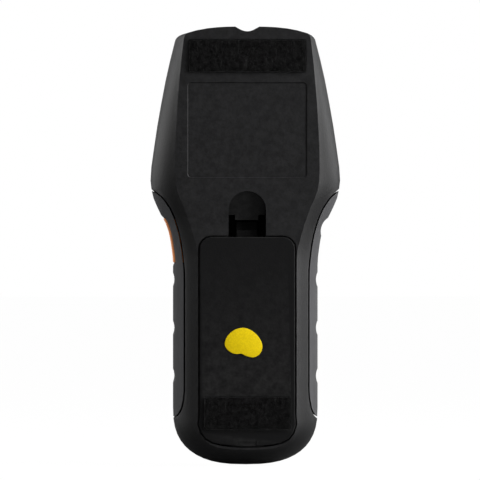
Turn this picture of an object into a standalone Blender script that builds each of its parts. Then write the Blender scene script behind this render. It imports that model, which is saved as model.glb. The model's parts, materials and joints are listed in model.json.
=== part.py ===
"""Pinless moisture meter, as separate pieces.

Sizes are in millimetres until a piece is finished, then scaled to metres.
X runs across the instrument, Y from the sensing back to the display front,
and Z along it.  While a piece is being made, Z is the height above the
instrument's bottom end and Y = 0 is the outer plane of the felt pads.
"""
import math

import bmesh
import bpy

for old in list(bpy.data.objects):
    bpy.data.objects.remove(old, do_unlink=True)

# ---------------------------------------------------------------- sizes
LENGTH = 184.0
HALF_HANDLE = 30.3
HALF_HEAD = 39.8
BACK_Y = 1.2
FRONT_Y = 33.0
PARTING_Y = 17.0
PARTING_GAP = 0.3
WALL = 2.2
GAP = 0.35
CLOSE_GAP = 0.2
LIP_REACH = 1.2
LIP_GAP = 0.25
LIP_THICKNESS = 0.7

END_HEIGHT = 24.0
END_POWER = 2.6
FLAT_END_POWER = 3.4
CROWN_POWER = 3.1
FLAT_END_Z = 6.5
FLAT_HALF = 20.75
SHOULDER_Z = 119.5
SIDE_TOP_Z = 177.7

GRIP_SEAM_HALF = 26.5
GRIP_TOP_Z = 114.8
GRIP_BOTTOM_Z = 20.1
GRIP_FRONT_Y = 27.0
GRIP_GAP = 0.65
SCALLOP_RADIUS = 6.4
SCALLOP_DEPTH = 0.8
SCALLOPS_BOTH = (37.3, 57.5, 77.8)
SCALLOP_RIGHT_ONLY = 98.2

NOTCH_HALF = 5.4
NOTCH_DEPTH = 2.1

PAD_THICKNESS_RECESS = 0.6
UPPER_PAD_Z = 171.6
UPPER_PAD_HALF_WIDTH = 24.6
UPPER_PAD_HALF_HEIGHT = 6.8
LOWER_PAD_Z = 21.7
LOWER_PAD_HALF_WIDTH = 18.15
LOWER_PAD_HALF_HEIGHT = 6.8

LABEL_HALF = 24.8
LABEL_LOW_Z = 120.8
LABEL_HIGH_Z = 160.2
LABEL_DEPTH = 0.4

DOOR_HALF = 20.1
DOOR_GAP = 0.6
DOOR_LOW_Z = 7.8
DOOR_HIGH_Z = 95.7
DOOR_THICKNESS = 2.0
DOOR_CORNER = 5.0
DOOR_LEDGE = 1.6
LEDGE_THICKNESS = 1.5
SEAT_GAP = 0.3
LEDGE_Y = BACK_Y + DOOR_THICKNESS + SEAT_GAP
HINGE_Z = 7.4
HOOK_X = 9.0
HOOK_HALF = 2.5
HOOK_OVERLAP = 1.2

ARCH_HALF = 7.85
ARCH_LOW_Z = 95.9
ARCH_TOP_Z = 115.0
SHELF_HALF = 4.9
SHELF_Z = 102.8
SIDE_SHELF_Z = 105.0
SLOT_FLOOR_Y = 12.4
LATCH_HALF = 4.4
LATCH_TOP_Z = 98.4
LATCH_AXIS_Y = 5.4
LATCH_AXIS_Z = 95.2

BATTERY_WIDTH = 26.5
BATTERY_LENGTH = 48.5
BATTERY_DEPTH = 17.5
BATTERY_LOW_Z = 23.0
BATTERY_Y = 4.9
TRAY_WALL = 1.2
TRAY_LOW_Z = BATTERY_LOW_Z - GAP - TRAY_WALL
TRAY_HIGH_Z = 79.0
TRAY_BACK_Y = LEDGE_Y + LEDGE_THICKNESS + SEAT_GAP
RIB_GAP = 0.7

BOARD_Y = 23.0
BOARD_THICKNESS = 1.6
ELECTRODE_THICKNESS = 0.9
BOARD_LOW_Z = 82.0
BOARD_HIGH_Z = 167.0
BOARD_HALF_HEAD = 25.0
BOARD_HALF_NECK = 20.0
BOARD_NECK_Z = 116.0
BOARD_SCREW_X = 16.5
BOARD_SCREW_Z = 86.0

WINDOW_HALF_X = 22.0
WINDOW_LOW_Z = 126.0
WINDOW_HIGH_Z = 158.0
LENS_MARGIN = 1.6
LENS_THICKNESS = 1.3

UPPER_SCREW_X = 19.0
LOWER_SCREW_X = 15.0
LOWER_SCREW_Z = 15.5
BOSS_RADIUS = 3.8
LOWER_BOSS_RADIUS = 3.3
SHANK_RADIUS = 1.5
HOLE_RADIUS = 1.8
HEAD_RADIUS = 2.8
HEAD_HEIGHT = 2.2

KEY_RADIUS = 5.6
KEY_FLANGE = 0.9
KEY_PROUD = 0.9
KEYS = (("power", 0.0, 95.5), ("mode", -11.5, 110.0), ("hold", 11.5, 110.0))
SWITCH_HALF = 3.0
PLUNGER_RADIUS = 1.5
PIPE_RADIUS = 1.5
PIPES = (("low", -10.0), ("middle", 0.0), ("high", 10.0))
PIPE_Z = 164.0

SIDE_BUTTON_LOW_Z = 84.9
SIDE_BUTTON_HIGH_Z = 103.5
SIDE_BUTTON_LOW_Y = 13.0
SIDE_BUTTON_HIGH_Y = 21.0
SIDE_DISH = 0.7
SIDE_FLANGE_X = 23.4

FRONT_INNER_Y = FRONT_Y - WALL
REAR_END_Y = PARTING_Y - PARTING_GAP / 2
FRONT_START_Y = PARTING_Y + PARTING_GAP / 2

# half widths at a few heights, joined by smooth curves
SILHOUETTE = (
    (END_HEIGHT, HALF_HANDLE),
    (84.0, HALF_HANDLE),
    (91.7, 31.05),
    (99.3, 32.6),
    (106.8, 36.25),
    (113.0, 38.8),
    (SHOULDER_Z, HALF_HEAD),
    (134.7, 38.1),
    (149.8, 35.65),
    (165.0, 32.7),
    (SIDE_TOP_Z, 29.55),
)
BACK_FLAT = (
    (23.5, FLAT_HALF),
    (88.0, FLAT_HALF),
    (93.8, 22.0),
    (98.0, 23.1),
    (102.6, 24.6),
    (108.5, 26.7),
    (113.2, 28.9),
    (118.7, 30.2),
    (125.4, 30.4),
    (146.5, 29.6),
    (166.7, 28.0),
    (177.5, 26.8),
)
SEAM = (
    (GRIP_BOTTOM_Z, 30.2),
    (20.9, 29.2),
    (24.5, 27.4),
    (31.0, GRIP_SEAM_HALF),
    (80.0, GRIP_SEAM_HALF),
    (88.0, 27.2),
    (94.3, 28.1),
    (100.9, 29.8),
    (106.7, 32.0),
    (111.5, 35.2),
    (GRIP_TOP_Z, 39.0),
)
SIDE_STATIONS = (24, 40, 56, 72, 84, 87.5, 91, 94.5, 98, 101.5, 105, 108.5,
                 112, 115.5, 119.5, 125, 133, 142, 152, 162, 170, 177.7)


# ---------------------------------------------------------------- curves
def smooth_value(points, z):
    """Shape-keeping cubic through (z, value) points."""
    if z <= points[0][0]:
        return points[0][1]
    if z >= points[-1][0]:
        return points[-1][1]
    steps = [b[0] - a[0] for a, b in zip(points, points[1:])]
    slopes = [(b[1] - a[1]) / (b[0] - a[0]) for a, b in zip(points, points[1:])]
    tangents = [slopes[0]]
    for i in range(1, len(slopes)):
        if slopes[i - 1] * slopes[i] <= 0:
            tangents.append(0.0)
        else:
            w1 = 2 * steps[i] + steps[i - 1]
            w2 = steps[i] + 2 * steps[i - 1]
            tangents.append((w1 + w2) / (w1 / slopes[i - 1] + w2 / slopes[i]))
    tangents.append(slopes[-1])
    for i, step in enumerate(steps):
        if z <= points[i + 1][0]:
            t = (z - points[i][0]) / step
            h00 = 2 * t ** 3 - 3 * t ** 2 + 1
            h10 = t ** 3 - 2 * t ** 2 + t
            h01 = 3 * t ** 2 - 2 * t ** 3
            h11 = t ** 3 - t ** 2
            low, high = points[i][1], points[i + 1][1]
            return h00 * low + h10 * step * tangents[i] + h01 * high + h11 * step * tangents[i + 1]
    return points[-1][1]


def half_end(half_width, low_z, height, power, count=12):
    """Bottom end: a superellipse from the centre line out to the side."""
    points = []
    for i in range(count):
        angle = math.pi / 2 * (1 - i / count)
        x = half_width * math.cos(angle) ** (2 / power)
        z = low_z + height - height * math.sin(angle) ** (2 / power)
        points.append((x if i else 0.0, z))
    return points


def half_outline(widths, low_z, power, corner, crown):
    """Half of a plan outline from the bottom centre to the top centre."""
    first_z, last_z = widths[0][0], widths[-1][0]
    points = half_end(widths[0][1], low_z, first_z - low_z, power)
    span = (last_z - first_z) / (SIDE_STATIONS[-1] - SIDE_STATIONS[0])
    for station in SIDE_STATIONS:
        z = first_z + (station - SIDE_STATIONS[0]) * span
        points.append((smooth_value(widths, z), z))
    start = points[-1]
    middle, end = corner
    for i in range(1, 5):
        t = i / 4
        x = (1 - t) ** 2 * start[0] + 2 * t * (1 - t) * middle[0] + t * t * end[0]
        z = (1 - t) ** 2 * start[1] + 2 * t * (1 - t) * middle[1] + t * t * end[1]
        points.append((x, z))
    top_z, drop = crown
    for i in range(1, 7):
        x = end[0] * (1 - i / 6)
        points.append((x, top_z - drop * (x / end[0]) ** CROWN_POWER))
    return points


def mirrored(half):
    """Whole ring from a half whose first and last points are on X = 0."""
    return half + [(-x, z) for x, z in reversed(half[1:-1])]


OUTER = mirrored(half_outline(SILHOUETTE, 0.0, END_POWER, ((29.2, 180.1), (26.9, 180.8)),
                              (LENGTH, 3.2)))
FLAT = mirrored(half_outline(BACK_FLAT, FLAT_END_Z, FLAT_END_POWER, ((26.6, 180.7), (25.0, 181.2)),
                             (183.9, 2.7)))


def mixed(amount):
    """Outline between the flat face (0) and the widest outline (1)."""
    return [(f[0] + (o[0] - f[0]) * amount, f[1] + (o[1] - f[1]) * amount)
            for f, o in zip(FLAT, OUTER)]


def inset(ring, distance):
    """Ring moved inwards by a distance."""
    result = []
    count = len(ring)
    for i in range(count):
        ax, az = ring[i - 1]
        bx, bz = ring[(i + 1) % count]
        dx, dz = bx - ax, bz - az
        size = math.hypot(dx, dz)
        result.append((ring[i][0] - dz / size * distance, ring[i][1] + dx / size * distance))
    return result


def seam_half(z):
    return smooth_value(SEAM, z)


def cavity_ring(ring, distance, extra=0.0):
    """Inset ring kept clear of the grips and of the top notch, by a little extra if wanted."""
    result = []
    highest = LENGTH - NOTCH_DEPTH - WALL - extra
    for x, z in inset(ring, distance):
        if GRIP_BOTTOM_Z < z < GRIP_TOP_Z:
            limit = seam_half(z) - GRIP_GAP - 1.75 - extra
            x = max(-limit, min(limit, x))
        result.append((x, min(z, highest)))
    return result


# ---------------------------------------------------------------- solids
def keep(bm):
    """Temporary object from a finished bmesh."""
    bmesh.ops.recalc_face_normals(bm, faces=bm.faces)
    mesh = bpy.data.meshes.new("work")
    bm.to_mesh(mesh)
    bm.free()
    obj = bpy.data.objects.new("work", mesh)
    bpy.context.scene.collection.objects.link(obj)
    return obj


def loft(rings):
    """Closed solid through matching rings of 3-D points."""
    bm = bmesh.new()
    loops = [[bm.verts.new(point) for point in ring] for ring in rings]
    count = len(loops[0])
    for low, high in zip(loops, loops[1:]):
        for i in range(count):
            j = (i + 1) % count
            bm.faces.new((low[i], low[j], high[j], high[i]))
    bm.faces.new(loops[0])
    bm.faces.new(list(reversed(loops[-1])))
    return keep(bm)


def at_y(ring, y):
    return [(x, y, z) for x, z in ring]


def prism(ring, y0, y1):
    return loft([at_y(ring, y0), at_y(ring, y1)])


def box(x0, x1, y0, y1, z0, z1):
    return prism([(x0, z0), (x1, z0), (x1, z1), (x0, z1)], y0, y1)


def bevelled(obj, width, segments=2):
    """Round every edge sharper than 40 degrees."""
    bm = bmesh.new()
    bm.from_mesh(obj.data)
    edges = [e for e in bm.edges if e.is_manifold and e.calc_face_angle() > math.radians(40)]
    bmesh.ops.bevel(bm, geom=edges, offset=width, segments=segments, profile=0.5,
                    affect="EDGES", clamp_overlap=True, material=-1)
    bm.to_mesh(obj.data)
    bm.free()
    return obj


def circle(cx, cz, radius, steps=24):
    return [(cx + radius * math.cos(2 * math.pi * i / steps),
             cz + radius * math.sin(2 * math.pi * i / steps)) for i in range(steps)]


def rod(cx, cz, radius, y0, y1, steps=24):
    """Cylinder along Y."""
    return prism(circle(cx, cz, radius, steps), y0, y1)


def rod_x(cy, cz, radius, x0, x1, steps=20):
    """Cylinder along X."""
    ring = circle(cy, cz, radius, steps)
    return loft([[(x0, y, z) for y, z in ring], [(x1, y, z) for y, z in ring]])


def rod_z(cx, cy, radius, z0, z1, steps=20):
    """Cylinder along Z."""
    ring = circle(cx, cy, radius, steps)
    return loft([[(x, y, z0) for x, y in ring], [(x, y, z1) for x, y in ring]])


def rounded_ring(cx, cz, half_x, half_z, radius, steps=4):
    ring = []
    for quarter, (sx, sz) in enumerate(((1, 1), (-1, 1), (-1, -1), (1, -1))):
        for i in range(steps + 1):
            angle = math.pi / 2 * (quarter + i / steps)
            ring.append((cx + sx * (half_x - radius) + radius * math.cos(angle),
                         cz + sz * (half_z - radius) + radius * math.sin(angle)))
    return ring


def plate(cx, cz, half_x, half_z, radius, y0, y1, steps=4):
    return prism(rounded_ring(cx, cz, half_x, half_z, radius, steps), y0, y1)


def combine(target, tool, operation):
    modifier = target.modifiers.new("work", "BOOLEAN")
    modifier.operation = operation
    modifier.solver = "EXACT"
    modifier.use_self = target.name.startswith("ribbed")
    modifier.object = tool
    graph = bpy.context.evaluated_depsgraph_get()
    mesh = bpy.data.meshes.new_from_object(target.evaluated_get(graph))
    old_mesh = target.data
    target.modifiers.clear()
    target.data = mesh
    bpy.data.meshes.remove(old_mesh)
    tool_mesh = tool.data
    bpy.data.objects.remove(tool, do_unlink=True)
    bpy.data.meshes.remove(tool_mesh)
    bm = bmesh.new()
    bm.from_mesh(mesh)
    bmesh.ops.remove_doubles(bm, verts=bm.verts, dist=0.0005)
    bmesh.ops.dissolve_limit(bm, angle_limit=math.radians(0.05), verts=bm.verts, edges=bm.edges)
    bm.to_mesh(mesh)
    bm.free()
    return target


def cut(target, tool):
    return combine(target, tool, "DIFFERENCE")


def add(target, tool):
    return combine(target, tool, "UNION")


def common(target, tool):
    return combine(target, tool, "INTERSECT")


# ---------------------------------------------------------------- nodes
def material(name, colour, roughness, metallic=0.0, alpha=1.0):
    mat = bpy.data.materials.new(name)
    mat.use_nodes = True
    shader = mat.node_tree.nodes["Principled BSDF"]
    shader.inputs["Base Color"].default_value = (colour[0], colour[1], colour[2], 1.0)
    shader.inputs["Roughness"].default_value = roughness
    shader.inputs["Metallic"].default_value = metallic
    shader.inputs["Alpha"].default_value = alpha
    mat.diffuse_color = (colour[0], colour[1], colour[2], alpha)
    return mat


instrument = bpy.data.objects.new("instrument", None)
instrument.location = (0.0, 0.0, -UPPER_PAD_Z / 1000)
bpy.context.scene.collection.objects.link(instrument)


def node(obj, name, colour, roughness, metallic=0.0, alpha=1.0, pivot=(0.0, 0.0, 0.0), smooth=True):
    """Finish a piece: weld, scale to metres, name, colour and place it."""
    bm = bmesh.new()
    bm.from_mesh(obj.data)
    bmesh.ops.remove_doubles(bm, verts=bm.verts, dist=0.0005)
    bmesh.ops.dissolve_degenerate(bm, edges=bm.edges, dist=0.0005)
    for vertex in bm.verts:
        vertex.co.x = (vertex.co.x - pivot[0]) / 1000
        vertex.co.y = (vertex.co.y - pivot[1]) / 1000
        vertex.co.z = (vertex.co.z - pivot[2]) / 1000
    for face in bm.faces:
        face.smooth = smooth
    bmesh.ops.recalc_face_normals(bm, faces=bm.faces)
    bm.to_mesh(obj.data)
    bm.free()
    if smooth:
        obj.data.set_sharp_from_angle(angle=math.radians(32))
    obj.name = name
    obj.data.name = name
    obj.data.materials.clear()
    obj.data.materials.append(material(name + "_material", colour, roughness, metallic, alpha))
    obj.parent = instrument
    obj.location = (pivot[0] / 1000, pivot[1] / 1000, pivot[2] / 1000)
    return obj


# ---------------------------------------------------------------- hull
REAR_SECTIONS = ((BACK_Y, 0.0), (3.0, 0.24), (4.9, 0.46), (7.2, 0.66), (10.0, 0.84), (13.5, 1.0))
FRONT_SECTIONS = ((22.0, 1.0), (26.0, 0.97), (29.0, 0.83), (31.2, 0.6), (32.6, 0.33), (FRONT_Y, 0.18))


def hull(y0, y1):
    """Outer body between two Y planes, one of which is an end of the body."""
    sections = [s for s in REAR_SECTIONS + FRONT_SECTIONS if y0 - 1e-6 <= s[0] <= y1 + 1e-6]
    if y0 > BACK_Y:
        sections.insert(0, (y0, 1.0))
    if y1 < FRONT_Y:
        sections.append((y1, 1.0))
    return loft([at_y(mixed(amount), y) for y, amount in sections])


def cavity(y0, y1):
    """Hollow inside the body between two Y planes."""
    inner = BACK_Y + WALL
    rings = ((inner, 0.0, 1.5), (7.6, 0.67, 2.4), (13.5, 1.0, WALL), (24.0, 1.0, WALL), (28.5, 0.86, WALL),
             (FRONT_INNER_Y, 0.6, WALL))
    chosen = [r for r in rings if y0 <= r[0] <= y1]
    if y0 > inner:
        chosen.insert(0, (y0, 1.0, WALL))
    if y1 < FRONT_INNER_Y:
        chosen.append((y1, 1.0, WALL))
    return loft([at_y(cavity_ring(mixed(amount), offset), y) for y, amount, offset in chosen])


def parting_lip(low_z, high_z):
    """Tongue that closes the parting line from inside, between two heights."""
    rings = ((PARTING_Y - LIP_REACH, LIP_GAP), (FRONT_START_Y + 0.2, LIP_GAP),
             (FRONT_START_Y + 0.9, -0.5), (FRONT_START_Y + 2.0, -0.5))
    tongue = loft([at_y(cavity_ring(OUTER, WALL + step, step), y) for y, step in rings])
    inside = LIP_GAP + LIP_THICKNESS
    cut(tongue, prism(cavity_ring(OUTER, WALL + inside, inside), PARTING_Y - LIP_REACH - 1.0,
                      FRONT_START_Y + 3.0))
    return common(tongue, box(-50.0, 50.0, PARTING_Y - 5.0, FRONT_START_Y + 5.0, low_z, high_z))


def seam_region(side, offset, y0, y1):
    """Everything outside the grip seam on one side, moved in by an offset."""
    count = 26
    curve = []
    for i in range(count + 1):
        z = GRIP_BOTTOM_Z + (GRIP_TOP_Z - GRIP_BOTTOM_Z) * i / count
        curve.append((seam_half(z), z))
    for z in (20.45, 20.9, 22.2, 112.6, 113.8):
        curve.append((seam_half(z), z))
    curve.sort(key=lambda p: p[1])
    curve = [(50.0, GRIP_BOTTOM_Z - 14.0)] + curve + [(50.0, GRIP_TOP_Z + 9.5)]
    moved = []
    for i, (x, z) in enumerate(curve):
        ax, az = curve[max(i - 1, 0)]
        bx, bz = curve[min(i + 1, len(curve) - 1)]
        size = math.hypot(bx - ax, bz - az)
        moved.append((x - (bz - az) / size * offset, z + (bx - ax) / size * offset))
    return prism([(side * x, z) for x, z in moved], y0, y1)


def notch_tool():
    ring = [(NOTCH_HALF + 0.6, LENGTH + 1.2)]
    for i in range(17):
        t = 1 - i / 8
        ring.append((NOTCH_HALF * t, LENGTH - NOTCH_DEPTH * (1 - t * t) ** 1.3))
    ring.append((-NOTCH_HALF - 0.6, LENGTH + 1.2))
    return prism(ring, -1.0, FRONT_Y + 1.0)


def side_button_slot():
    return box(-45.0, -15.0, SIDE_BUTTON_LOW_Y - GAP, SIDE_BUTTON_HIGH_Y + GAP,
               SIDE_BUTTON_LOW_Z - GAP, SIDE_BUTTON_HIGH_Z + GAP)


# ---------------------------------------------------------------- door outline
def door_ring(grow):
    """Door outline, grown outwards by a distance."""
    half = [(0.0, DOOR_LOW_Z), (6.0, 8.05), (11.0, 8.65), (14.6, 9.5), (17.4, 11.1),
            (19.3, 13.6), (20.4, 17.0), (DOOR_HALF, 21.5)]
    for i in range(5):
        angle = math.pi / 2 * i / 4
        half.append((DOOR_HALF - DOOR_CORNER + DOOR_CORNER * math.cos(angle),
                     DOOR_HIGH_Z - DOOR_CORNER + DOOR_CORNER * math.sin(angle)))
    half.append((0.0, DOOR_HIGH_Z))
    return inset(mirrored(half), -grow)


# ---------------------------------------------------------------- rear cover
shell = hull(BACK_Y, REAR_END_Y)
shell.name = "ribbed_shell"
cut(shell, cavity(BACK_Y, REAR_END_Y + 1.0))
for side in (-1, 1):
    cut(shell, seam_region(side, GRIP_GAP, -1.0, PARTING_Y + 1))
cut(shell, notch_tool())
cut(shell, side_button_slot())
inner_back = BACK_Y + WALL
add(shell, prism(door_ring(0.9), inner_back - 0.5, LEDGE_Y + LEDGE_THICKNESS))
housing = box(-ARCH_HALF - 2.0, ARCH_HALF + 2.0, inner_back - 0.5, SLOT_FLOOR_Y + 1.8, 93.2, 118.0)
add(shell, housing)
for side in (-1, 1):
    add(shell, rod(side * UPPER_SCREW_X, UPPER_PAD_Z, BOSS_RADIUS, inner_back - 1.0, REAR_END_Y))
    boss = rod(side * LOWER_SCREW_X, LOWER_SCREW_Z, LOWER_BOSS_RADIUS, 8.0, REAR_END_Y - 0.1)
    add(boss, box(side * LOWER_SCREW_X - 1.5, side * LOWER_SCREW_X + 1.5, 11.5, REAR_END_Y - 0.6,
                  3.3, LOWER_SCREW_Z))
    cut(boss, rod(side * LOWER_SCREW_X, LOWER_SCREW_Z, HOLE_RADIUS, 7.0, PARTING_Y + 1))
    add(shell, boss)
# openings
cut(shell, prism(door_ring(DOOR_GAP), -1.0, LEDGE_Y))
cut(shell, prism(door_ring(-DOOR_LEDGE), -1.0, 7.9))
arch = [(ARCH_HALF, ARCH_LOW_Z - 1.0)]
for i in range(13):
    angle = math.pi * i / 12
    arch.append((ARCH_HALF * math.cos(angle), ARCH_TOP_Z - ARCH_HALF + ARCH_HALF * math.sin(angle)))
arch.append((-ARCH_HALF, ARCH_LOW_Z - 1.0))
scoop_profile = [(-1.0, ARCH_TOP_Z + 1.0), (BACK_Y + 1.1, ARCH_TOP_Z + 1.0)]
for i in range(9):
    t = i / 8
    scoop_profile.append((BACK_Y + 1.1 + 3.4 * math.sin(math.pi / 2 * t), ARCH_TOP_Z - 12.4 * t))
scoop_profile.append((BACK_Y + 4.5, ARCH_LOW_Z - 1.0))
scoop_profile.append((-1.0, ARCH_LOW_Z - 1.0))
scoop = loft([[(-9.0, y, z) for y, z in scoop_profile], [(9.0, y, z) for y, z in scoop_profile]])
cut(shell, common(scoop, prism(arch, -1.0, 9.0)))
cut(shell, box(-ARCH_HALF, ARCH_HALF, -1.0, SLOT_FLOOR_Y, ARCH_LOW_Z - 0.2, SHELF_Z))
for side in (-1, 1):
    inner, outer = sorted((side * SHELF_HALF, side * ARCH_HALF))
    cut(shell, box(inner, outer, 2.0, SLOT_FLOOR_Y, SHELF_Z - 0.5, SIDE_SHELF_Z))
cut(shell, box(-LATCH_HALF - 0.6, LATCH_HALF + 0.6, inner_back, SLOT_FLOOR_Y, 91.0, ARCH_LOW_Z + 0.5))
for side in (-1, 1):
    cut(shell, box(side * HOOK_X - HOOK_HALF - 0.4, side * HOOK_X + HOOK_HALF + 0.4,
                   3.8, 8.0, HINGE_Z - HOOK_OVERLAP - 0.35, 14.0))
    cut(shell, box(side * HOOK_X - HOOK_HALF - 0.4, side * HOOK_X + HOOK_HALF + 0.4,
                   3.2, 7.8, HINGE_Z + 0.85, 13.8))
cut(shell, plate(0, UPPER_PAD_Z, UPPER_PAD_HALF_WIDTH + 0.25, UPPER_PAD_HALF_HEIGHT + 0.25, 1.2,
                 -1.0, BACK_Y + PAD_THICKNESS_RECESS))
label_z = (LABEL_LOW_Z + LABEL_HIGH_Z) / 2
label_half_z = (LABEL_HIGH_Z - LABEL_LOW_Z) / 2
cut(shell, loft([at_y(rounded_ring(0, label_z, LABEL_HALF + grow, label_half_z + grow, 1.3 + grow), y)
                 for grow, y in ((0.35, -1.0), (0.35, BACK_Y), (0.0, BACK_Y + LABEL_DEPTH))]))
for side in (-1, 1):
    cut(shell, rod(side * UPPER_SCREW_X, UPPER_PAD_Z, HEAD_RADIUS + 0.4, -1.0, 5.2))
    cut(shell, rod(side * UPPER_SCREW_X, UPPER_PAD_Z, HOLE_RADIUS, 4.0, PARTING_Y + 1))
node(shell, "rear_cover", (0.014, 0.014, 0.015), 0.5)

# ---------------------------------------------------------------- front cover
cover = hull(FRONT_START_Y, FRONT_Y)
cut(cover, cavity(FRONT_START_Y - 1.0, FRONT_Y))
for side in (-1, 1):
    cut(cover, seam_region(side, GRIP_GAP, PARTING_Y - 1, GRIP_FRONT_Y + GRIP_GAP))
cut(cover, notch_tool())
cut(cover, side_button_slot())
add(cover, parting_lip(GRIP_TOP_Z + 1.5, LENGTH))
lower_lip = parting_lip(0.0, GRIP_BOTTOM_Z - 0.6)
for side in (-1, 1):
    cut(lower_lip, box(side * LOWER_SCREW_X - 1.9, side * LOWER_SCREW_X + 1.9, PARTING_Y - LIP_REACH - 1.0,
                       REAR_END_Y - 0.3, 0.0, LOWER_SCREW_Z))
add(cover, lower_lip)
for side in (-1, 1):
    add(cover, rod(side * UPPER_SCREW_X, UPPER_PAD_Z, BOSS_RADIUS, FRONT_START_Y, FRONT_INNER_Y + 0.5))
    add(cover, rod(side * LOWER_SCREW_X, LOWER_SCREW_Z, LOWER_BOSS_RADIUS, FRONT_START_Y,
                   FRONT_INNER_Y + 0.5))
    cut(cover, rod(side * UPPER_SCREW_X, UPPER_PAD_Z, HOLE_RADIUS, FRONT_START_Y - 1, 28.0))
    cut(cover, rod(side * LOWER_SCREW_X, LOWER_SCREW_Z, HOLE_RADIUS, FRONT_START_Y - 1, 26.0))
    add(cover, box(side * BOARD_SCREW_X - 1.6, side * BOARD_SCREW_X + 1.6,
                   BOARD_Y + BOARD_THICKNESS + CLOSE_GAP, FRONT_INNER_Y + 0.5,
                   BOARD_SCREW_Z - 1.6, BOARD_SCREW_Z + 1.6))
    cut(cover, rod(side * BOARD_SCREW_X, BOARD_SCREW_Z, 0.9, BOARD_Y, 29.5, 16))
window_z = (WINDOW_LOW_Z + WINDOW_HIGH_Z) / 2
window_half_z = (WINDOW_HIGH_Z - WINDOW_LOW_Z) / 2
cut(cover, plate(0, window_z, WINDOW_HALF_X, window_half_z, 2.0, FRONT_INNER_Y - 1, FRONT_Y + 1))
cut(cover, plate(0, window_z, WINDOW_HALF_X + LENS_MARGIN, window_half_z + LENS_MARGIN, 3.0,
                 FRONT_Y - LENS_THICKNESS - CLOSE_GAP, FRONT_Y + 1))
for name, x, z in KEYS:
    cut(cover, rod(x, z, KEY_RADIUS + 0.3, FRONT_INNER_Y - 1, FRONT_Y + 1, 32))
for name, x in PIPES:
    cut(cover, rod(x, PIPE_Z, PIPE_RADIUS + 0.2, FRONT_INNER_Y - 1, FRONT_Y + 1, 20))
for x in (-4.0, 0.0, 4.0):
    cut(cover, plate(x, 30.0, 0.7, 4.0, 0.6, FRONT_INNER_Y - 1, FRONT_Y + 1, 3))
node(cover, "front_cover", (0.02, 0.02, 0.022), 0.5)

# ---------------------------------------------------------------- grips
for side, name in ((-1, "left_grip"), (1, "right_grip")):
    grip = common(seam_region(side, 0.0, -1.0, GRIP_FRONT_Y), hull(BACK_Y, FRONT_Y))
    heights = SCALLOPS_BOTH if side < 0 else SCALLOPS_BOTH + (SCALLOP_RIGHT_ONLY,)
    for z in heights:
        centre = smooth_value(SILHOUETTE, z) + SCALLOP_RADIUS - SCALLOP_DEPTH
        cut(grip, rod(side * centre, z, SCALLOP_RADIUS, -1.0, FRONT_Y, 40))
    if side < 0:
        low, high = SIDE_BUTTON_LOW_Z - 1.6, SIDE_BUTTON_HIGH_Z + 1.6
        dish = [(-50.0, low)]
        for i in range(17):
            z = low + (high - low) * i / 16
            edge = min(z - low, high - z)
            blend = min(edge / 1.5, 1.0)
            depth = SIDE_DISH * blend * blend * (3 - 2 * blend)
            dish.append((-smooth_value(SILHOUETTE, z) + depth - 0.02 * (1 - blend), z))
        dish.append((-50.0, high))
        cut(grip, prism(dish, -1.0, FRONT_Y))
        cut(grip, side_button_slot())
    node(grip, name, (0.06, 0.06, 0.064), 0.85)

# ---------------------------------------------------------------- side button
button = common(box(-45.0, -SIDE_FLANGE_X, SIDE_BUTTON_LOW_Y, SIDE_BUTTON_HIGH_Y,
                    SIDE_BUTTON_LOW_Z, SIDE_BUTTON_HIGH_Z), hull(BACK_Y, FRONT_Y))
bevelled(button, 0.5, 2)
add(button, box(-SIDE_FLANGE_X - 0.1, -SIDE_FLANGE_X + 1.1, SIDE_BUTTON_LOW_Y - 1.2,
                SIDE_BUTTON_HIGH_Y + 1.2, SIDE_BUTTON_LOW_Z - 1.4, SIDE_BUTTON_HIGH_Z + 1.4))
node(button, "side_button", (0.62, 0.15, 0.03), 0.45, pivot=(-30.0, 17.0, 94.2))
switch = box(-20.6, -15.0, 13.6, BOARD_Y - CLOSE_GAP, 90.4, 98.0)
cut(switch, rod_x(17.0, 94.2, PLUNGER_RADIUS + 0.3, -22.0, -17.6))
node(switch, "side_switch", (0.02, 0.02, 0.02), 0.4, smooth=False)
plunger = rod_x(17.0, 94.2, PLUNGER_RADIUS, -SIDE_FLANGE_X + 1.1 + CLOSE_GAP, -19.2)
node(plunger, "side_plunger", (0.6, 0.6, 0.58), 0.4, pivot=(-22.0, 17.0, 94.2))

# ---------------------------------------------------------------- pads and door
pad = bevelled(plate(0, UPPER_PAD_Z, UPPER_PAD_HALF_WIDTH, UPPER_PAD_HALF_HEIGHT, 1.0, 0.0,
                     BACK_Y + PAD_THICKNESS_RECESS - CLOSE_GAP), 0.15, 1)
node(pad, "upper_felt_pad", (0.006, 0.006, 0.006), 0.95)

door_inner = BACK_Y + DOOR_THICKNESS
door = prism(door_ring(0.0), BACK_Y, door_inner)
bm = bmesh.new()
bm.from_mesh(door.data)
rim = [e for e in bm.edges if all(abs(v.co.y - BACK_Y) < 1e-4 for v in e.verts)]
bmesh.ops.bevel(bm, geom=rim, offset=0.55, segments=2, profile=0.5, affect="EDGES", material=-1)
bm.to_mesh(door.data)
bm.free()
for side in (-1, 1):
    x0, x1 = side * HOOK_X - HOOK_HALF, side * HOOK_X + HOOK_HALF
    hook = box(x0, x1, door_inner - 0.5, 5.4, HINGE_Z + 1.2, HINGE_Z + 3.0)
    add(hook, box(x0, x1, 4.05, 5.4, HINGE_Z - HOOK_OVERLAP, HINGE_Z + 3.0))
    add(door, hook)
    add(door, box(side * 17.6 - 0.5, side * 17.6 + 0.5, door_inner - 0.5, TRAY_BACK_Y - RIB_GAP,
                  24.0, 86.0))
add(door, box(-LATCH_HALF, LATCH_HALF, door_inner - 0.5, 6.6, 90.0, LATCH_AXIS_Z - 1.1))
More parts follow.
